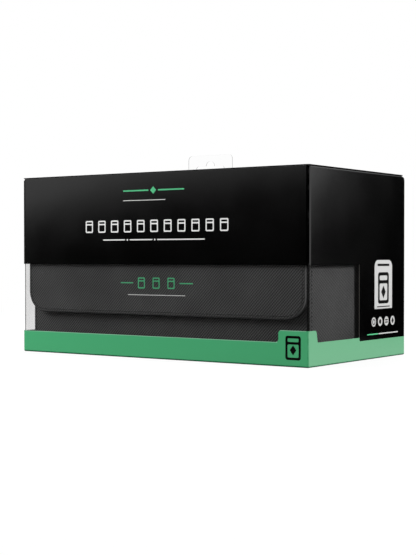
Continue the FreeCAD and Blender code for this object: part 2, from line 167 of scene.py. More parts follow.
def calc(tree, operation, *values):
    node = tree.nodes.new("ShaderNodeMath")
    node.operation = operation
    for socket, value in zip(node.inputs, values):
        put(tree, socket, value)
    return node.outputs["Value"]


def vector_calc(tree, operation, first, second):
    node = tree.nodes.new("ShaderNodeVectorMath")
    node.operation = operation
    put(tree, node.inputs[0], first)
    put(tree, node.inputs[1], second)
    return node.outputs["Value" if operation == "DOT_PRODUCT" else "Vector"]


def ease(tree, value, given, wanted):
    """Turn a value within the given range smoothly into one within the wanted range."""
    node = tree.nodes.new("ShaderNodeMapRange")
    node.interpolation_type = "SMOOTHSTEP"
    put(tree, node.inputs["Value"], value)
    put(tree, node.inputs["From Min"], given[0])
    put(tree, node.inputs["From Max"], given[1])
    put(tree, node.inputs["To Min"], wanted[0])
    put(tree, node.inputs["To Max"], wanted[1])
    return node.outputs["Result"]


def mix(tree, share, first, second):
    """Mix two colours, with a share of 1 giving the second."""
    node = tree.nodes.new("ShaderNodeMix")
    node.data_type = "RGBA"
    values = {"Factor_Float": share, "A_Color": first, "B_Color": second}
    for socket in node.inputs:
        if socket.identifier in values:
            put(tree, socket, values[socket.identifier])
    return next(socket for socket in node.outputs if socket.identifier == "Result_Color")


def surface(tree, output):
    """The surface's place, as Object, or the way that it faces, as Normal."""
    return tree.nodes.new("ShaderNodeTexCoord").outputs[output]


def split(tree, vector):
    """The X, Y and Z outputs of a vector, which can be unpacked or taken by name."""
    node = tree.nodes.new("ShaderNodeSeparateXYZ")
    put(tree, node.inputs["Vector"], vector)
    return node.outputs


def noise(tree, place, scale, detail):
    node = tree.nodes.new("ShaderNodeTexNoise")
    put(tree, node.inputs["Vector"], place)
    node.inputs["Scale"].default_value = scale
    node.inputs["Detail"].default_value = detail
    return node.outputs["Fac"]


def emboss(tree, shader, height, strength, depth):
    """Add a relief on top of any that the shader already has."""
    node = tree.nodes.new("ShaderNodeBump")
    node.inputs["Strength"].default_value = strength
    node.inputs["Distance"].default_value = depth
    put(tree, node.inputs["Height"], height)
    for link in shader.inputs["Normal"].links:
        put(tree, node.inputs["Normal"], link.from_socket)
    put(tree, shader.inputs["Normal"], node.outputs["Normal"])


# Carton board
def board_sides(tree, place):
    """Masks for the carton's printed outside and for the window's cut edges near its middle planes."""
    arm = vector_calc(tree, "SUBTRACT", place, carton_middle)
    reach = vector_calc(tree, "DOT_PRODUCT", surface(tree, "Normal"), arm)
    outside = calc(tree, "GREATER_THAN", reach, print_edge_limit)
    cut = calc(tree, "LESS_THAN", calc(tree, "ABSOLUTE", reach), print_edge_limit)
    return outside, cut


def fold_rub(tree, place):
    """How far the print is rubbed, in patches along the carton's folds."""
    patch_values = (0.50, 0.68)
    most_rubbed = 0.35
    x, y, z = split(tree, place)
    gap_x = calc(tree, "SUBTRACT", carton_right, calc(tree, "ABSOLUTE", x))
    gap_y = calc(tree, "SUBTRACT", carton_back, calc(tree, "ABSOLUTE", y))
    gap_z = calc(tree, "MINIMUM", z, calc(tree, "SUBTRACT", carton_top, z))
    upright = calc(tree, "ADD", gap_x, gap_y)
    level = calc(tree, "ADD", gap_z, calc(tree, "MINIMUM", gap_x, gap_y))
    near = ease(tree, calc(tree, "MINIMUM", upright, level), (0.0, fold_rub_reach), (1.0, 0.0))
    spots = noise(tree, place, scale=240.0, detail=6.0)
    return calc(tree, "MULTIPLY", near, ease(tree, spots, patch_values, (0.0, most_rubbed)))


def side_panel(tree, place):
    """1 where a side wall is printed black: over its window, and behind it down to the green band."""
    parts = split(tree, place)
    left = calc(tree, "MAXIMUM", calc(tree, "SUBTRACT", window_back + band_corner, parts["Y"]), 0.0)
    below = calc(tree, "MAXIMUM", calc(tree, "SUBTRACT", band_height + band_corner, parts["Z"]), 0.0)
    left_part = calc(tree, "MULTIPLY", left, left)
    reach = calc(tree, "SQRT", calc(tree, "MULTIPLY_ADD", below, below, left_part))
    panel = calc(tree, "LESS_THAN", reach, band_corner)
    over_window = calc(tree, "GREATER_THAN", parts["Z"], window_middle)
    return calc(tree, "MAXIMUM", panel, over_window)


def back_panel(tree, place):
    """1 where the back is printed black, over the green band."""
    return calc(tree, "GREATER_THAN", split(tree, place)["Z"], band_height)


def sill_edge_highlight(tree, place):
    """Near 1 along the cut top edge of the sill and of its corner tab, where a paler green is painted
    as a highlight.
    """
    parts = split(tree, place)
    on_tab = calc(tree, "GREATER_THAN", parts["X"], tab_left)
    top = calc(tree, "MULTIPLY_ADD", on_tab, tab_head - sill_height, sill_height)
    return ease(tree, calc(tree, "SUBTRACT", top, parts["Z"]), (0.0, sill_highlight_width), (1.0, 0.0))


def folded_green(tree, place, ink):
    """Green print, with the front's green painted where a corner fold faces the front, and a painted
    shade line along the foot fold.
    """
    corner_turn = (-0.95, -0.3)
    # Painted shade: where a corner fold turns to face the front it takes the front's darker green
    toward_front = ease(tree, split(tree, surface(tree, "Normal"))["Y"], corner_turn, (1.0, 0.0))
    # Painted shade along the foot of the walls
    foot_shade = ease(tree, split(tree, place)["Z"], (foot_shade_height / 2, foot_shade_height), (1.0, 0.0))
    return mix(tree, foot_shade, mix(tree, toward_front, ink, green_front_ink), painted_foot_shade_green)


def board_finish(name, ink, black_area=None, highlight_mask=None, gloss=plain_gloss):
    """Coated carton board, printed outside and bare fibre inside."""
    print_roughness = (0.105, 0.13)
    rougher_bare = 0.6
    material, tree, shader = new_finish(name)
    place = surface(tree, "Object")
    outside, cut = board_sides(tree, place)
    wear_and_highlight_colour = rubbed_black
    if ink != black_ink:
        ink = folded_green(tree, place, ink)
        wear_and_highlight_colour = rubbed_and_highlight_green
    if black_area:
        black = black_area(tree, place)
        ink = mix(tree, black, ink, black_ink)
        wear_and_highlight_colour = mix(tree, black, wear_and_highlight_colour, rubbed_black)
    wear_and_highlight = fold_rub(tree, place)
    # A painted highlight, where a mask is given, joins the rubbed patches
    if highlight_mask:
        wear_and_highlight = calc(tree, "MAXIMUM", wear_and_highlight, highlight_mask(tree, place))
    printed = mix(tree, wear_and_highlight, ink, wear_and_highlight_colour)
    fibre = noise(tree, place, scale=1500.0, detail=5.0)
    bare = mix(tree, fibre, mix(tree, cut, bare_board, cut_board), fibre_shade)
    put(tree, shader.inputs["Base Color"], mix(tree, outside, bare, printed))
    handled = ease(tree, noise(tree, place, scale=28.0, detail=4.0), noise_spread, print_roughness)
    bare_share = calc(tree, "SUBTRACT", 1.0, outside)
    put(tree, shader.inputs["Roughness"], calc(tree, "MULTIPLY_ADD", bare_share, rougher_bare, handled))
    shader.inputs["Specular IOR Level"].default_value = gloss
    emboss(tree, shader, fibre, strength=0.05, depth=0.05 * mm)
    return material


def side_wall_finish():
    """A side wall: soft at its front fold over the window, and dull where it meets the front."""
    # The side walls use the lighter green, painted as light on the sides
    material = board_finish("side_print", painted_side_light_green, side_panel)
    tree = material.node_tree
    shader = tree.nodes["Principled BSDF"]
    parts = split(tree, surface(tree, "Object"))
    fold = ease(tree, parts["Y"], (carton_front + fold_start, carton_front + fold_end), (0.0, 1.0))
    over_window = calc(tree, "GREATER_THAN", parts["Z"], window_middle)
    emboss(tree, shader, calc(tree, "MULTIPLY", fold, over_window), strength=1.0, depth=fold_drop)
    in_gap = calc(tree, "LESS_THAN", parts["Y"], carton_front + gap_depth)
    gloss = calc(tree, "MULTIPLY_ADD", in_gap, -plain_gloss, plain_gloss)
    put(tree, shader.inputs["Specular IOR Level"], gloss)
    return material


def lid_edge_finish():
    """The carton's top panel: glossy black print on its face, dull black on its cut edges."""
    material = board_finish("black_top_print", black_ink)
    tree = material.node_tree
    shader = tree.nodes["Principled BSDF"]
    slope = calc(tree, "ABSOLUTE", split(tree, surface(tree, "Normal"))["Z"])
    level = calc(tree, "GREATER_THAN", slope, facing_limit)
    put(tree, shader.inputs["Specular IOR Level"], calc(tree, "MULTIPLY", level, plain_gloss))
    return material


# Clear plastic
def clear_finish(name, haze, slant, flat_axis=None, edge=0.0):
    """A clear sheet: thin haze on its faces, more where it is cut and where it is seen at a slant."""
    streak_values = (0.35, 0.7)
    streak_range = (0.9, 1.25)
    material, tree, shader = new_finish(name)
    place = surface(tree, "Object")
    grazing = tree.nodes.new("ShaderNodeLayerWeight")
    grazing.inputs["Blend"].default_value = 0.25
    streaks = ease(tree, noise(tree, place, scale=22.0, detail=3.0), streak_values, streak_range)
    veil = calc(tree, "MULTIPLY", streaks, haze)
    veil = calc(tree, "MULTIPLY_ADD", grazing.outputs["Facing"], slant, veil)
    if flat_axis is not None:
        facing = vector_calc(tree, "DOT_PRODUCT", surface(tree, "Normal"), flat_axis)
        cut = calc(tree, "LESS_THAN", calc(tree, "ABSOLUTE", facing), facing_limit)
        veil = calc(tree, "MULTIPLY_ADD", cut, edge, veil)
    put(tree, shader.inputs["Alpha"], veil)
    shader.inputs["Base Color"].default_value = film_tint
    shader.inputs["Roughness"].default_value = 0.08
    shader.inputs["Specular IOR Level"].default_value = 0.1
    emboss(tree, shader, noise(tree, place, scale=14.0, detail=2.0), strength=0.08, depth=1.0 * mm)
    return material


# The case's own materials
def leather_relief(tree, place):
    """A slanted twill that strays a little, with a fainter cross line and a fine grain."""
    cross_share = 0.45
    grain_share = 0.35
    stray = noise(tree, place, scale=320.0, detail=3.0)
    ridge_place = calc(tree, "ADD", vector_calc(tree, "DOT_PRODUCT", place, twill_waves), stray)
    ridge = calc(tree, "SINE", ridge_place)
    cross = calc(tree, "SINE", vector_calc(tree, "DOT_PRODUCT", place, cross_waves))
    weave = calc(tree, "MULTIPLY_ADD", cross, cross_share, ridge)
    grain = noise(tree, place, scale=1100.0, detail=4.0)
    return calc(tree, "MULTIPLY_ADD", grain, grain_share, weave)


def edge_highlight_and_dark_sides(tree, colour):
    """Leather painted paler where its front edge rounds over, as a painted highlight, and darker where
    it faces sideways or back.
    """
    rounding = (-0.95, -0.7)
    most_highlight = 0.5
    side_facing_range = (-0.3, -0.1)
    most_darkened = 0.9
    toward_front = split(tree, surface(tree, "Normal"))["Y"]
    # Painted highlight where the front edge rounds over
    rounded = ease(tree, toward_front, rounding, (0.0, most_highlight))
    # Darker where the leather faces sideways or back
    painted = ease(tree, toward_front, side_facing_range, (0.0, most_darkened))
    return mix(tree, painted, mix(tree, rounded, colour, leather_painted_highlight), leather_dark)


def leather_finish(name, with_edge_highlight=False):
    """Charcoal leather-look sheet, lighter and smoother on the ridges of its twill."""
    tone_relief = (-0.9, 1.3)
    tone_range = (0.2, 0.8)
    cloud_range = (-0.04, 0.04)
    smooth_relief = (-1.4, 2.2)
    roughness_range = (0.62, 0.46)
    material, tree, shader = new_finish(name)
    place = surface(tree, "Object")
    relief = leather_relief(tree, place)
    tone = ease(tree, relief, tone_relief, tone_range)
    cloud = ease(tree, noise(tree, place, scale=30.0, detail=3.0), noise_spread, cloud_range)
    colour = mix(tree, calc(tree, "ADD", tone, cloud), leather_dark, leather_light)
    # The flap's edge gets a painted highlight where it rounds over, and darker sides
    if with_edge_highlight:
        colour = edge_highlight_and_dark_sides(tree, colour)
    put(tree, shader.inputs["Base Color"], colour)
    put(tree, shader.inputs["Roughness"], ease(tree, relief, smooth_relief, roughness_range))
    shader.inputs["Specular IOR Level"].default_value = 0.12
    emboss(tree, shader, relief, strength=0.35, depth=0.12 * mm)
    return material


def lining_finish():
    """Short napped lining, brushed a little unevenly."""
    nap_share = 0.5
    brushed_share = 0.5
    material, tree, shader = new_finish("napped_lining")
    place = surface(tree, "Object")
    nap = noise(tree, place, scale=2600.0, detail=4.0)
    brushed = noise(tree, place, scale=60.0, detail=3.0)
    tone = calc(tree, "MULTIPLY_ADD", brushed, brushed_share, calc(tree, "MULTIPLY", nap, nap_share))
    put(tree, shader.inputs["Base Color"], mix(tree, tone, lining_dark, lining_light))
    shader.inputs["Roughness"].default_value = 0.95
    shader.inputs["Specular IOR Level"].default_value = 0.15
    shader.inputs["Sheen Weight"].default_value = 0.35
    shader.inputs["Sheen Roughness"].default_value = 0.4
    emboss(tree, shader, nap, strength=0.5, depth=0.25 * mm)
    return material


def core_finish():
    """Grey pressed board with specks of fibre."""
    material, tree, shader = new_finish("pressed_board")
    fibre = noise(tree, surface(tree, "Object"), scale=900.0, detail=6.0)
    put(tree, shader.inputs["Base Color"], mix(tree, fibre, core_dark, core_light))
    shader.inputs["Roughness"].default_value = 0.9
    emboss(tree, shader, fibre, strength=0.3, depth=0.1 * mm)
    return material


def magnet_finish():
    """Plated magnet faces with fine marks."""
    mark_stretch = (1.0, 1.0, 12.0)
    roughness_range = (0.22, 0.38)
    material, tree, shader = new_finish("plated_magnet")
    stretched = vector_calc(tree, "MULTIPLY", surface(tree, "Object"), mark_stretch)
    marks = noise(tree, stretched, scale=700.0, detail=3.0)
    put(tree, shader.inputs["Base Color"], mix(tree, marks, plate_dark, plate_light))
    put(tree, shader.inputs["Roughness"], ease(tree, marks, noise_spread, roughness_range))
    shader.inputs["Metallic"].default_value = 1.0
    return material


def thread_finish():
    """Waxed sewing thread with a fine twist."""
    material, tree, shader = new_finish("sewing_thread")
    twist_place = vector_calc(tree, "DOT_PRODUCT", surface(tree, "Object"), twist_waves)
    twist = calc(tree, "SINE", twist_place)
    tone = ease(tree, twist, (-1.0, 1.0), (0.0, 1.0))
    put(tree, shader.inputs["Base Color"], mix(tree, tone, thread_dark, thread_light))
    shader.inputs["Roughness"].default_value = 0.6
    emboss(tree, shader, twist, strength=0.3, depth=0.05 * mm)
    return material


def ink_finish(name, colour, gloss=plain_gloss):
    """A layer of printed ink, a little uneven."""
    thin_ink_share = 0.7
    speckle_values = (0.35, 0.65)
    most_speckled = 0.12
    roughness_range = (0.28, 0.4)
    material, tree, shader = new_finish(name)
    place = surface(tree, "Object")
    spots = noise(tree, place, scale=420.0, detail=5.0)
    speckle = ease(tree, spots, speckle_values, (0.0, most_speckled))
    thinner = tuple(thin_ink_share * part for part in colour[:3]) + (1.0,)
    put(tree, shader.inputs["Base Color"], mix(tree, speckle, colour, thinner))
    handled = ease(tree, noise(tree, place, scale=40.0, detail=4.0), noise_spread, roughness_range)
    put(tree, shader.inputs["Roughness"], handled)
    shader.inputs["Specular IOR Level"].default_value = gloss
    emboss(tree, shader, noise(tree, place, scale=1500.0, detail=3.0), strength=0.04, depth=0.05 * mm)
    return material


black_print = board_finish("black_print", black_ink)
# The sill's top edge gets a painted highlight
green_print = board_finish("green_print", green_front_ink, highlight_mask=sill_edge_highlight, gloss=0.15)
side_print = side_wall_finish()
# The back uses the same lighter green, painted as light
back_print = board_finish("back_print", painted_side_light_green, back_panel)
top_print = lid_edge_finish()
front_clear = clear_finish("clear_front_film", haze=0.09, slant=0.05, flat_axis=away, edge=0.25)
side_clear = clear_finish("clear_side_film", haze=0.09, slant=0.05, flat_axis=across, edge=0.25)
corner_clear = clear_finish("clear_film_corner", haze=0.55, slant=0.3)
tab_clear = clear_finish("clear_hang_tab", haze=0.008, slant=0.01, flat_axis=away, edge=0.75)
foot_clear = clear_finish("clear_tab_foot", haze=0.06, slant=0.05, flat_axis=upward, edge=0.25)
leather = leather_finish("twill_leather")
flap_leather = leather_finish("flap_leather", with_edge_highlight=True)
lining = lining_finish()
core_board = core_finish()
magnet_plate = magnet_finish()
thread = thread_finish()
white_ink = ink_finish("white_ink", white_paint)
tag_ink = ink_finish("tag_ink", tag_paint)
green_ink = ink_finish("green_ink", green_paint)
dark_ink = ink_finish("dark_ink", black_ink, gloss=0.1)

node_finishes = {
    black_print: ("carton_front_leaf", "carton_tuck_ears"),
    top_print: ("carton_top_panel",),
    green_print: ("carton_sill", "carton_bottom"),
    side_print: ("carton_left_side", "carton_right_side"),
    back_print: ("carton_back",),
    front_clear: ("front_film",),
    side_clear: ("side_films",),
    tab_clear: ("hang_tab",),
    foot_clear: ("hang_tab_foot",),
    leather: ("body_cover", "rim_binding", "lid_cover"),
    flap_leather: ("flap_cover",),
    lining: ("body_lining", "lid_lining", "flap_lining", "left_partition", "right_partition"),
    core_board: ("floor_board", "front_board", "back_board", "left_board", "right_board", "lid_board",
                 "flap_board"),
    magnet_plate: ("wall_magnets", "flap_magnets"),
}
for finish, names in node_finishes.items():
    for name in names:
        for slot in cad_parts[name].material_slots:
            slot.material = finish


# Leather rolls and bent film
def add_object(name, data):
    piece = bpy.data.objects.new(name, data)
    bpy.context.scene.collection.objects.link(piece)
    return piece


def carried(piece, body):
    """Let a piece ride on a body."""
    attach(piece, body)


def swept_mesh(name, sections, finish):
    """A closed skin over a row of closed sections that have the same number of points."""
    sharp_angle = math.radians(40)
    shape = bmesh.new()
    rings = [[shape.verts.new(point) for point in section] for section in sections]
    for ring, following in zip(rings, rings[1:]):
        for place in range(len(ring)):
            shape.faces.new((ring[place - 1], ring[place], following[place], following[place - 1]))
    shape.faces.new(rings[0])
    shape.faces.new(rings[-1])
    bmesh.ops.recalc_face_normals(shape, faces=shape.faces)
    mesh = bpy.data.meshes.new(name)
    shape.to_mesh(mesh)
    shape.free()
    mesh.materials.append(finish)
    mesh.shade_smooth()
    mesh.set_sharp_from_angle(angle=sharp_angle)
    return mesh


def arc(centre, radius, start, end, steps):
    """Points on an arc about a centre in a plane, by angles in degrees."""
    points = []
    for count in range(steps + 1):
        angle = math.radians(start + (end - start) * count / steps)
        points.append((centre[0] + radius * math.cos(angle), centre[1] + radius * math.sin(angle)))
    return points


def circle(centre, radius, count):
    """A count of points all round a centre in a plane."""
    return arc(centre, radius, 0.0, 360.0 * (count - 1) / count, count - 1)


def leather_roll(name, centre, side, tail):
    """A quarter roll of cover leather along X, wrinkled a little, with a flat tail where it has one."""
    outer = lid_high.z - centre[1]
    wrinkle = 0.22 * mm
    wrinkle_pitch = 9.0 * mm
    wander = 2.0
    wander_pitch = 4 * wrinkle_pitch
    length_steps = 90
    arc_steps = 14
    sections = []
    for count in range(length_steps + 1):
        x = case_low.x + (case_high.x - case_low.x) * count / length_steps
        wave = math.sin(2 * math.pi * x / wrinkle_pitch + wander * math.sin(x / wander_pitch))
        section = []
        for radius, start, end in ((outer, 0.0, 90.0), (outer - leather_wall, 90.0, 0.0)):
            ring = []
            # The wrinkles are deepest halfway round the roll and fade out at its two ends
            for u, v in arc((0.0, 0.0), radius, start, end, arc_steps):
                pull = 1.0 - wrinkle * (0.5 + 0.5 * wave) * 4 * u * v / radius ** 3
                ring.append((x, centre[0] + side * u * pull, centre[1] + v * pull))
            if tail:
                flat = (x, centre[0] - side * tail, centre[1] + radius)
                ring = ring + [flat] if start < end else [flat] + ring
            section += ring
        sections.append(section)
    return add_object(name, swept_mesh(name, sections, leather))


def leather_rolls():
    """The roll that the lid swings on and the roll that the flap hangs from."""
    radius = hinge_high.z - hinge_low.z
    hinge_centre = (hinge_high.y - radius, hinge_low.z)
    back_roll = leather_roll("hinge_roll", hinge_centre, 1, hinge_centre[0] - hinge_low.y)
    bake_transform(back_roll)
    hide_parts("lid_hinge_leather")
    front_roll = leather_roll("crease_roll", (crease_high.y, crease_low.z), -1, 0.0)
    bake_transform(front_roll)
    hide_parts("flap_crease_leather")


def film_corners():
    """The bent film at the two front corners of the window, too thin to throw a shadow."""
    steps = 10
    outer = film_corner_radius
    inner = film_corner_radius - film_corner_wall
    centre = (side_film_high.x - outer, side_film_low.y)
    bend = arc(centre, outer, 0.0, -90.0, steps) + arc(centre, inner, -90.0, 0.0, steps)
    corners = (("left_film_corner", -1, sill_height), ("right_film_corner", 1, tab_head))
    for name, side, foot in corners:
        sections = [[(side * x, y, z) for x, y in bend] for z in (foot, window_head)]
        piece = add_object(name, swept_mesh(name, sections, corner_clear))
        piece.visible_shadow = False
        carried(piece, "packed_case")


leather_rolls()
film_corners()


# Stitches
def stitch_tree():
    """Stitches spaced along the edges of a mesh, each a small sphere drawn out along its seam."""
    stitch_sides = 6
    stitch_rings = 5
    unit_radius = 0.5
    tree = bpy.data.node_groups.new("stitch_run", "GeometryNodeTree")
    tree.interface.new_socket("Seam", in_out="INPUT", socket_type="NodeSocketGeometry")
    for name in ("Spacing", "Stitch length", "Thread width"):
        tree.interface.new_socket(name, in_out="INPUT", socket_type="NodeSocketFloat")
    tree.interface.new_socket("Thread", in_out="INPUT", socket_type="NodeSocketMaterial")
    tree.interface.new_socket("Stitches", in_out="OUTPUT", socket_type="NodeSocketGeometry")
    given = tree.nodes.new("NodeGroupInput").outputs
    path = tree.nodes.new("GeometryNodeMeshToCurve")
    put(tree, path.inputs["Mesh"], given["Seam"])
    spaced = tree.nodes.new("GeometryNodeResampleCurve")
    spaced.mode = "LENGTH"
    put(tree, spaced.inputs["Curve"], path.outputs["Curve"])
    put(tree, spaced.inputs["Length"], given["Spacing"])
    stitch = tree.nodes.new("GeometryNodeMeshUVSphere")
    stitch.inputs["Segments"].default_value = stitch_sides
    stitch.inputs["Rings"].default_value = stitch_rings
    stitch.inputs["Radius"].default_value = unit_radius
    size = tree.nodes.new("ShaderNodeCombineXYZ")
    put(tree, size.inputs["X"], given["Thread width"])
    put(tree, size.inputs["Y"], given["Thread width"])
    put(tree, size.inputs["Z"], given["Stitch length"])
    drawn = tree.nodes.new("GeometryNodeTransform")
    put(tree, drawn.inputs["Geometry"], stitch.outputs["Mesh"])
    put(tree, drawn.inputs["Scale"], size.outputs["Vector"])
    along = tree.nodes.new("FunctionNodeAlignRotationToVector")
    along.axis = "Z"
    put(tree, along.inputs["Vector"], tree.nodes.new("GeometryNodeInputTangent").outputs["Tangent"])
    row = tree.nodes.new("GeometryNodeInstanceOnPoints")
    put(tree, row.inputs["Points"], spaced.outputs["Curve"])
    put(tree, row.inputs["Instance"], drawn.outputs["Geometry"])
    put(tree, row.inputs["Rotation"], along.outputs["Rotation"])
    real = tree.nodes.new("GeometryNodeRealizeInstances")
    put(tree, real.inputs["Geometry"], row.outputs["Instances"])
    coloured = tree.nodes.new("GeometryNodeSetMaterial")
    put(tree, coloured.inputs["Geometry"], real.outputs["Geometry"])
    put(tree, coloured.inputs["Material"], given["Thread"])
    put(tree, tree.nodes.new("NodeGroupOutput").inputs["Stitches"], coloured.outputs["Geometry"])
    return tree


def sew(name, tree, seams, body):
    """Run stitches along seams, each a list of points, as one plain mesh."""
    points = []
    edges = []
    for seam in seams:
        first = len(points)
        points += seam
        edges += [(first + count, first + count + 1) for count in range(len(seam) - 1)]
    path = bpy.data.meshes.new(name + "_path")
    path.from_pydata(points, edges, [])
    piece = add_object(name, path)
    modifier = piece.modifiers.new("stitches", "NODES")
    modifier.node_group = tree
    settings = {"Spacing": stitch_spacing, "Stitch length": stitch_length, "Thread width": thread_width,
                "Thread": thread}
    for item in tree.interface.items_tree:
        if item.in_out == "INPUT" and item.name in settings:
            modifier[item.identifier] = settings[item.name]
    evaluated = piece.evaluated_get(bpy.context.evaluated_depsgraph_get())
    stitches = bpy.data.meshes.new_from_object(evaluated)
    piece.modifiers.clear()
    piece.data = stitches
    stitches.shade_smooth()
    carried(piece, body)


def flap_seam():
    """Down one side of the flap, round its two lower corners and up the other side."""
    steps = 12
    left, right = flap_low.x + seam_inset, flap_high.x - seam_inset
    foot, head = flap_low.z + seam_inset, flap_high.z - seam_end
    bend = flap_corner_radius - seam_inset
    outline = [(left, head)]
    outline += arc((left + bend, foot + bend), bend, 180.0, 270.0, steps)
    outline += arc((right - bend, foot + bend), bend, 270.0, 360.0, steps)
    outline += [(right, head)]
    return [(x, flap_low.y, z) for x, z in outline]


def body_seams():
    """Upright seams on both sides of each corner of the body."""
    foot, head = case_low.z + seam_end, case_high.z - seam_end
    seams = []
    for side in (case_low.x, case_high.x):
        inner = side - math.copysign(seam_inset, side)
        for x, y in ((inner, case_low.y), (side, case_low.y + seam_inset),
                     (side, case_high.y - seam_inset), (inner, case_high.y)):
            seams.append([(x, y, foot), (x, y, head)])
    return seams


def lid_seams():
    """Four straight seams round the top of the lid."""
    left, right = lid_low.x + seam_inset, lid_high.x - seam_inset
    front, back = lid_low.y + seam_inset, lid_high.y - seam_inset
    corners = [(left, front), (right, front), (right, back), (left, back), (left, front)]
    return [[(*first, lid_high.z), (*last, lid_high.z)] for first, last in zip(corners, corners[1:])]


stitch_run = stitch_tree()
sew("flap_stitches", stitch_run, [flap_seam()], "case_flap")
sew("body_stitches", stitch_run, body_seams(), "packed_case")
sew("lid_stitches", stitch_run, lid_seams(), "case_lid")


# Plain printed shapes, as flat outlines in millimetres across and up a face
def block(x, y, width, height, radius):
    """A rounded rectangle about its centre."""
    steps = 5
    points = []
    for side, rise, start in ((1, 1, 0.0), (-1, 1, 90.0), (-1, -1, 180.0), (1, -1, 270.0)):
        centre = (x + side * (width / 2 - radius), y + rise * (height / 2 - radius))
        points += arc(centre, radius, start, start + 90.0, steps)
    return points


def rule(x, y, length, stroke):
    """A straight stroke with round ends."""
    return block(x, y, length, stroke, stroke / 2)


def disc(x, y, radius):
    point_count = 36
    return circle((x, y), radius, point_count)


def diamond(x, y, width, height):
    return [(x + width / 2, y), (x, y + height / 2), (x - width / 2, y), (x, y - height / 2)]


def slab_sign(x, y, width, height):
    """The outline of a card holder: a frame with a label window over a card window."""
    stroke_share = 0.14
    label_share = 0.15
    label_corner_share = 0.3
    stroke = stroke_share * width
    label = label_share * height
    inner = width - 2 * stroke
    card = height - label - 3 * stroke
    return [block(x, y, width, height, stroke),
            block(x, y + height / 2 - stroke - label / 2, inner, label, label_corner_share * label),
            block(x, y - height / 2 + stroke + card / 2, inner, card, stroke / 2)]


def print_shapes(name, outlines, face, finish, body, layer=0):
    """Lay flat outlines on a face as a thin coat of ink, with an outline inside another left open."""
    curve = bpy.data.curves.new(name, "CURVE")
    curve.dimensions = "2D"
    curve.fill_mode = "BOTH"
    curve.extrude = ink_thickness / 2
    for outline in outlines:
        spline = curve.splines.new("POLY")
        spline.points.add(len(outline) - 1)
        for point, (x, y) in zip(spline.points, outline):
            point.co = (x * mm, y * mm, 0.0, 1.0)
        spline.use_cyclic_u = True
    holder = add_object(name + "_outline", curve)
    mesh = bpy.data.meshes.new_from_object(holder.evaluated_get(bpy.context.evaluated_depsgraph_get()))
    bpy.data.objects.remove(holder)
    origin, right, up = face
    outward = right.cross(up)
    lift = ink_thickness * (layer + 0.5) - ink_sink
    place = Matrix((right, up, outward)).transposed().to_4x4()
    place.translation = origin + outward * lift
    mesh.transform(place)
    mesh.materials.clear()
    mesh.materials.append(finish)
    carried(add_object(name, mesh), body)


front_face = (Vector((0, carton_front, 0)), across, upward)
flap_face = (Vector((0, flap_low.y, 0)), across, upward)
right_face = (Vector((carton_right, 0, 0)), away, upward)


def front_slab_row():
    """A row of slab signs across the black band."""
    sign_count = 11
    sign_width = 8.4
    sign_height = 10.6
    row_length = 153.7
    row_level = 113.8
    start = (sign_width - row_length) / 2
    step = (row_length - sign_width) / (sign_count - 1)
    row = []
    for place in range(sign_count):
        row += slab_sign(start + step * place, row_level, sign_width, sign_height)
    print_shapes("front_slab_row", row, front_face, white_ink, "carton_lid")


def front_rules():
    """A line of three rules with dots between them, and a thin rule higher up."""
    line_level = 102.1
    line_stroke = 1.0
    middles_and_lengths = ((-44.3, 24.8), (-14.3, 25.0), (28.2, 50.0))
    dot_middles = (-29.3, 0.7)
    dot_radius = 0.8
    rules = [rule(x, line_level, length, line_stroke) for x, length in middles_and_lengths]
    rules += [disc(x, line_level, dot_radius) for x in dot_middles]
    rules.append(rule(x=-11.0, y=136.0, length=46.0, stroke=0.5))
    print_shapes("front_rules", rules, front_face, white_ink, "carton_lid")


def front_ornament():
    """A diamond between two bars."""
    middle = -1.0
    level = 144.4
    bar_distance = 19.0
    bar_length = 28.0
    bar_stroke = 1.2
    gem_size = 6.4
    ornament = [rule(middle + side * bar_distance, level, bar_length, bar_stroke) for side in (-1, 1)]
    ornament.append(diamond(middle, level, gem_size, gem_size))
    print_shapes("front_ornament", ornament, front_face, green_ink, "carton_lid")


def flap_prints():
    """Three slab signs between two bars, over a thin rule."""
    sign_width = 7.6
    sign_height = 9.6
    sign_distance = 16.0
    mark_level = 64.8
    bar_distance = 32.0
    bar_length = 14.0
    bar_stroke = 1.0
    marks = []
    for place in (-1, 0, 1):
        marks += slab_sign(place * sign_distance, mark_level, sign_width, sign_height)
    marks += [rule(side * bar_distance, mark_level, bar_length, bar_stroke) for side in (-1, 1)]
    print_shapes("flap_marks", marks, flap_face, green_ink, "case_flap")
    thin_rule = rule(x=0.0, y=54.5, length=62.0, stroke=0.6)
    print_shapes("flap_rule", [thin_rule], flap_face, white_ink, "case_flap")


def tab_print():
    """A slab sign with a diamond on the sill's corner tab."""
    middle = 138.7
    sign_level = 15.3
    gem_level = 13.5
    sign = slab_sign(middle, sign_level, width=14.2, height=19.2)
    sign.append(diamond(middle, gem_level, width=6.0, height=8.0))
    print_shapes("tab_slab_sign", sign, front_face, dark_ink, "packed_case")


def side_tag():
    """A pale tag with round upper corners, and a slab sign between two bars on it."""
    middle = 43.1
    foot = 42.6
    head = 84.6
    half = 16.3
    corner = 6.0
    steps = 8
    sign_level = 60.5
    gem_level = 57.0
    upper_bar_level = 80.4
    lower_bar_level = 44.4
    tag = [(middle - half, foot), (middle + half, foot)]
    tag += arc((middle + half - corner, head - corner), corner, 0.0, 90.0, steps)
    tag += arc((middle - half + corner, head - corner), corner, 90.0, 180.0, steps)
    print_shapes("side_tag", [tag], right_face, tag_ink, "packed_case")
    marks = slab_sign(middle, sign_level, width=20.0, height=27.0)
    marks.append(diamond(middle, gem_level, width=8.0, height=11.0))
    marks.append(block(middle, upper_bar_level, width=22.0, height=2.0, radius=0.6))
    marks.append(block(middle, lower_bar_level, width=24.0, height=0.9, radius=0.3))
    print_shapes("side_tag_marks", marks, right_face, dark_ink, "packed_case", layer=1)


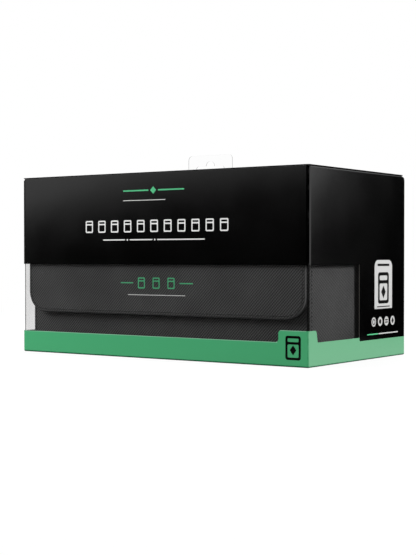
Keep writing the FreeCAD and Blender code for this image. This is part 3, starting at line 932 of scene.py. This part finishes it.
def side_discs():
    """Four pale discs that hold a ring, a dot, two bars and a diamond."""
    middles = (25.4, 37.2, 48.9, 60.6)
    level = 31.6
    disc_radius = 4.0
    ring_radii = (2.6, 1.7)
    dot_radius = 2.0
    bar_distance = 1.0
    discs = [disc(middle, level, disc_radius) for middle in middles]
    print_shapes("side_discs", discs, right_face, tag_ink, "packed_case")
    ring_place, dot_place, bar_place, gem_place = middles
    marks = [disc(ring_place, level, radius) for radius in ring_radii]
    marks.append(disc(dot_place, level, dot_radius))
    for side in (1, -1):
        marks.append(block(bar_place, level + side * bar_distance, width=5.0, height=1.1, radius=0.5))
    marks.append(diamond(gem_place, level, width=4.4, height=5.4))
    print_shapes("side_disc_marks", marks, right_face, dark_ink, "packed_case", layer=1)


def side_rules():
    """A green rule and a pale rule, end to end under the discs."""
    level = 21.2
    stroke = 1.0
    green_rule = rule(x=23.3, y=level, length=19.4, stroke=stroke)
    print_shapes("side_green_rule", [green_rule], right_face, green_ink, "packed_case")
    pale_rule = rule(x=52.4, y=level, length=36.6, stroke=stroke)
    print_shapes("side_white_rule", [pale_rule], right_face, tag_ink, "packed_case")


front_slab_row()
front_rules()
front_ornament()
flap_prints()
tab_print()
side_tag()
side_discs()
side_rules()

# Studio: a pale floor, white surroundings, soft lamps, and dark cards for the glossy print to reflect
floor_radius = 1.5
floor_points = 72
mat_points = 36
mat_lift = 0.1 * mm
card_distance = 60.0
camera_place = Vector((0.64596, -0.91546, 0.08753))
camera_bearing = math.radians(35.317)
camera_dip = math.radians(0.9715)
camera_lens = 79.94
camera_sensor = 36.0

# Corners of the cards, as bearings and heights in degrees
left_card = ((60, -3.0), (48, 0.7), (43.8, 2.1), (37.8, 3.75), (30.6, 4.6), (18, 5.8), (18, -25),
             (60, -25))
right_card = ((8, 32), (26, 10.1), (30.6, 3.4), (34, -1.5), (44, -25), (8, -25))
front_card = ((-10, 12), (75, 12), (75, -25), (-10, -25))


def seen_directly(tree):
    """1 for rays that show the surroundings to the camera, in a reflection or through clear plastic."""
    path = tree.nodes.new("ShaderNodeLightPath").outputs
    total = calc(tree, "ADD", path["Is Camera Ray"], path["Is Glossy Ray"])
    return calc(tree, "MINIMUM", calc(tree, "ADD", total, path["Is Transmission Ray"]), 1.0)


def white_surroundings():
    """White where they are seen, and a faint even light on the object."""
    light_level = 0.16
    world = bpy.data.worlds.new("white_studio")
    bpy.context.scene.world = world
    world.use_nodes = True
    tree = world.node_tree
    light = tree.nodes["Background"]
    light.inputs["Color"].default_value = plain_white
    light.inputs["Strength"].default_value = light_level
    white = tree.nodes.new("ShaderNodeBackground")
    white.inputs["Color"].default_value = plain_white
    both = tree.nodes.new("ShaderNodeMixShader")
    put(tree, both.inputs[0], seen_directly(tree))
    put(tree, both.inputs[1], light.outputs["Background"])
    put(tree, both.inputs[2], white.outputs["Background"])
    put(tree, tree.nodes["World Output"].inputs["Surface"], both.outputs["Shader"])


def pale_floor():
    """A round floor that keeps a faint shadow near the object and is plain white further out."""
    shadow_reach = (0.25, 0.9)
    shadow_share = 0.08
    material, tree, shader = new_finish("pale_floor")
    bounce = tree.nodes.new("ShaderNodeLightPath").outputs["Is Diffuse Ray"]
    put(tree, shader.inputs["Base Color"], mix(tree, bounce, floor_pale, floor_bounce))
    shader.inputs["Roughness"].default_value = 0.9
    distance = tree.nodes.new("ShaderNodeVectorMath")
    distance.operation = "LENGTH"
    put(tree, distance.inputs[0], surface(tree, "Object"))
    white_share = ease(tree, distance.outputs["Value"], shadow_reach, (1.0 - shadow_share, 1.0))
    white = tree.nodes.new("ShaderNodeEmission")
    both = tree.nodes.new("ShaderNodeMixShader")
    put(tree, both.inputs[0], calc(tree, "MULTIPLY", white_share, seen_directly(tree)))
    put(tree, both.inputs[1], shader.outputs["BSDF"])
    put(tree, both.inputs[2], white.outputs["Emission"])
    put(tree, tree.nodes["Material Output"].inputs["Surface"], both.outputs["Shader"])
    mesh = bpy.data.meshes.new("floor")
    rim = [(x, y, 0.0) for x, y in circle((0.0, 0.0), floor_radius, floor_points)]
    mesh.from_pydata(rim, [], [list(range(len(rim)))])
    mesh.materials.append(material)
    add_object("floor", mesh)


def card_corners(facing, corners):
    """Points far from the object, in the quarter round it that facing gives by its signs."""
    points = []
    for bearing, height in corners:
        turn, rise = math.radians(bearing), math.radians(height)
        x = facing[0] * math.sin(turn) * math.cos(rise)
        y = facing[1] * math.cos(turn) * math.cos(rise)
        points.append((x * card_distance, y * card_distance, math.sin(rise) * card_distance))
    return points


def dark_card(name, points, glow=None):
    """A black card that only reflections show, with a glow where one is given."""
    mesh = bpy.data.meshes.new(name)
    mesh.from_pydata(points, [], [list(range(len(points)))])
    material, tree, shader = new_finish(name)
    shader.inputs["Base Color"].default_value = plain_black
    shader.inputs["Specular IOR Level"].default_value = 0.0
    if glow:
        shader.inputs["Emission Color"].default_value = plain_white
        put(tree, shader.inputs["Emission Strength"], glow(tree, surface(tree, "Object")))
    mesh.materials.append(material)
    card = add_object(name, mesh)
    card.visible_camera = False
    card.visible_diffuse = False
    card.visible_transmission = False
    card.visible_shadow = False


def floor_glow(tree, place):
    """The pale floor's own reflection, strongest at the foot of the carton."""
    reach = 0.22
    strength = 0.22
    parts = split(tree, place)
    gap_x = calc(tree, "SUBTRACT", calc(tree, "ABSOLUTE", parts["X"]), carton_right)
    gap_y = calc(tree, "SUBTRACT", calc(tree, "ABSOLUTE", parts["Y"]), carton_back)
    return ease(tree, calc(tree, "MAXIMUM", gap_x, gap_y), (0.0, reach), (strength, 0.0))


def soft_lamp(name, place, size, power):
    """A round lamp aimed at the middle of the carton, which no reflection shows."""
    data = bpy.data.lights.new(name, "AREA")
    data.shape = "DISK"
    data.size = size
    data.energy = power
    lamp = add_object(name, data)
    lamp.location = place
    lamp.rotation_euler = (carton_middle - Vector(place)).to_track_quat("-Z", "Y").to_euler()
    lamp.visible_camera = False
    lamp.visible_glossy = False


def camera():
    """A view of the front and the right side, from just over the height of the carton's middle."""
    level = math.cos(camera_dip)
    toward = Vector((-math.sin(camera_bearing) * level, math.cos(camera_bearing) * level,
                     -math.sin(camera_dip)))
    data = bpy.data.cameras.new("camera")
    data.lens = camera_lens
    data.sensor_width = camera_sensor
    data.sensor_fit = "AUTO"
    view = add_object("camera", data)
    view.location = camera_place
    view.rotation_euler = toward.to_track_quat("-Z", "Y").to_euler()
    bpy.context.scene.camera = view


white_surroundings()
pale_floor()
dark_card("left_dark_card", card_corners((-1, -1), left_card))
dark_card("right_dark_card", card_corners((1, 1), right_card))
dark_card("front_dark_card", card_corners((1, -1), front_card))
mat_rim = [(x, y, mat_lift) for x, y in circle((0.0, 0.0), floor_radius, mat_points)]
dark_card("dark_mat", mat_rim, floor_glow)
soft_lamp("left_front_lamp", place=(-1.0, -0.74, 0.82), size=0.9, power=28.0)
soft_lamp("right_front_lamp", place=(0.8, -1.3, 0.4), size=1.0, power=2.6)
soft_lamp("right_side_lamp", place=(1.75, 0.35, 0.95), size=0.8, power=45.5)
soft_lamp("back_lamp", place=(-0.5, 1.7, 0.9), size=0.9, power=28.0)
soft_lamp("top_lamp", place=(0.0, 0.0, 2.2), size=1.2, power=22.0)
camera()
bpy.context.scene.view_settings.view_transform = "Standard"
